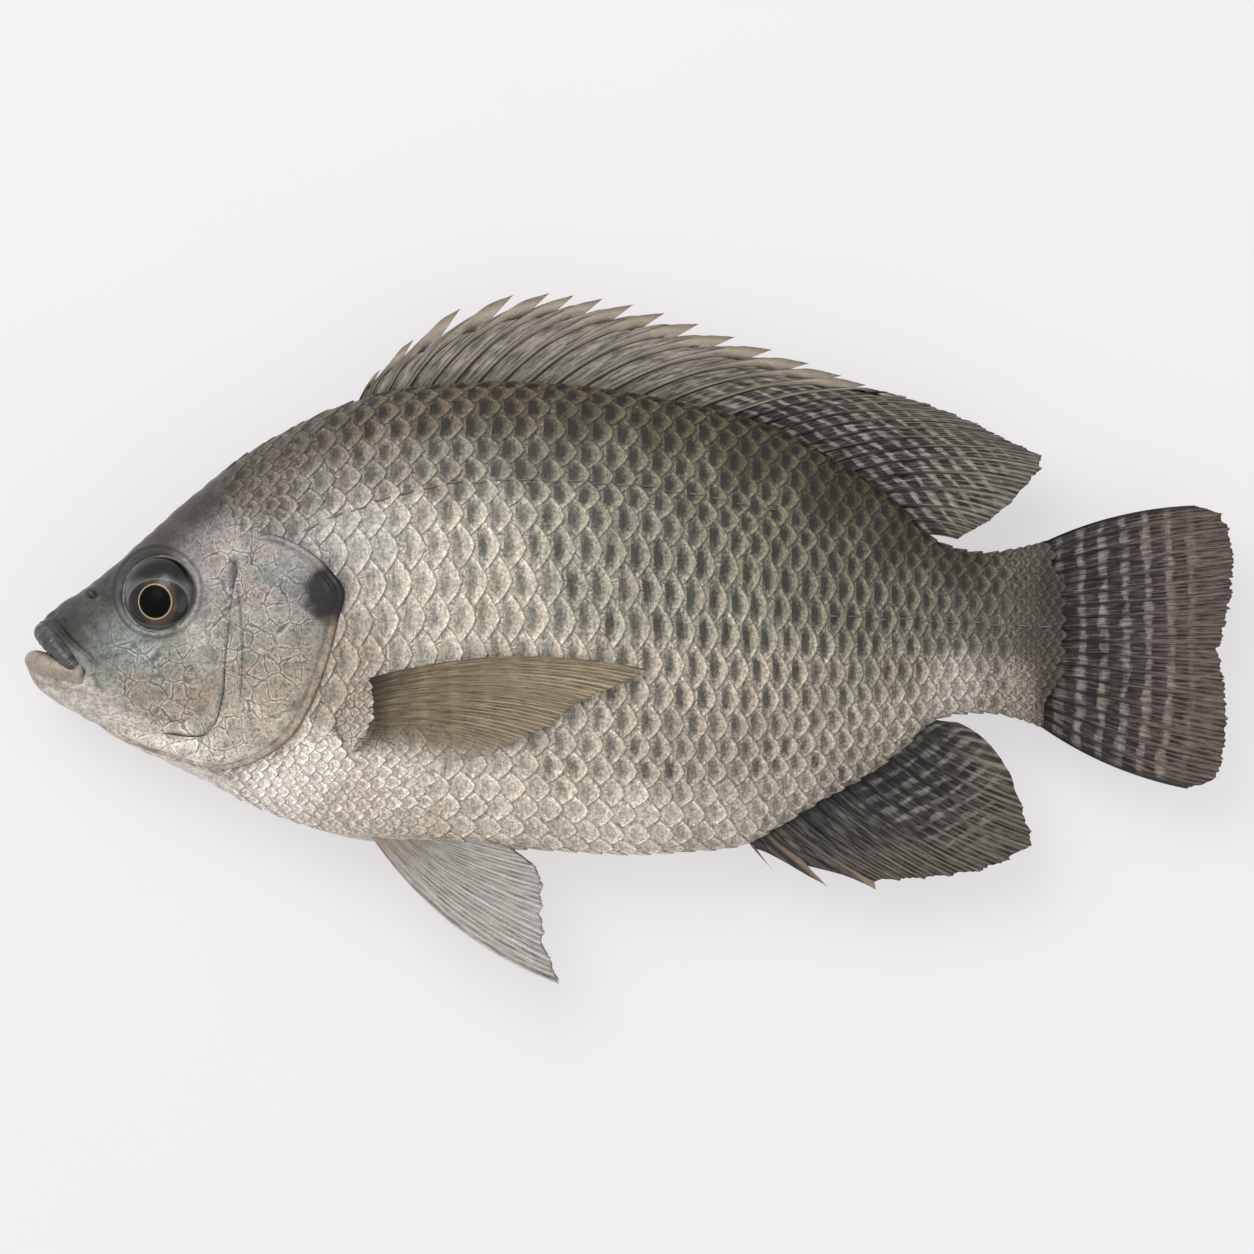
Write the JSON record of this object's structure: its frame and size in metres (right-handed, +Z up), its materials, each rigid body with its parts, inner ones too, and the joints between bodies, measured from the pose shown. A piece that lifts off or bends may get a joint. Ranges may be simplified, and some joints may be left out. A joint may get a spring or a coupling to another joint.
{
  "type": "tilapia",
  "caption": "Whole raw tilapia lying on its right side: deep scaled body and head, gill covers, eyes, spiny dorsal fin, broad tail and spread fins.",
  "frame": {"origin": "on the surface that the fish lies on, under the centre of its bounding box", "axes": "+X from the snout to the tail, +Y towards the back fin, +Z up, out of the left flank"},
  "size_m": [0.3008, 0.1722, 0.0475],
  "materials": {
    "skin": "wet overlapping scales, dark olive back, silver-grey flank, cream belly",
    "gill_cover": "wet, mottled silver-beige with faint large scales",
    "eye": "clear wet cornea over a brown iris and a black pupil",
    "dark_fin": "thin dark grey-brown skin over rays, with pale spots and bars",
    "brown_fin": "thin translucent beige-brown skin over fine rays",
    "pale_fin": "thin grey-white skin over pale rays"
  },
  "bodies": {
    "root": {"body": "skin", "gill_cover_left": "gill_cover", "gill_cover_right": "gill_cover", "eye_left": "eye", "eye_right": "eye", "dorsal_fin": "dark_fin", "anal_fin": "dark_fin", "tail_fin": "dark_fin", "pectoral_fin_left": "brown_fin", "pectoral_fin_right": "brown_fin", "pelvic_fin_left": "pale_fin", "pelvic_fin_right": "pale_fin"}
  },
  "joints": []
}
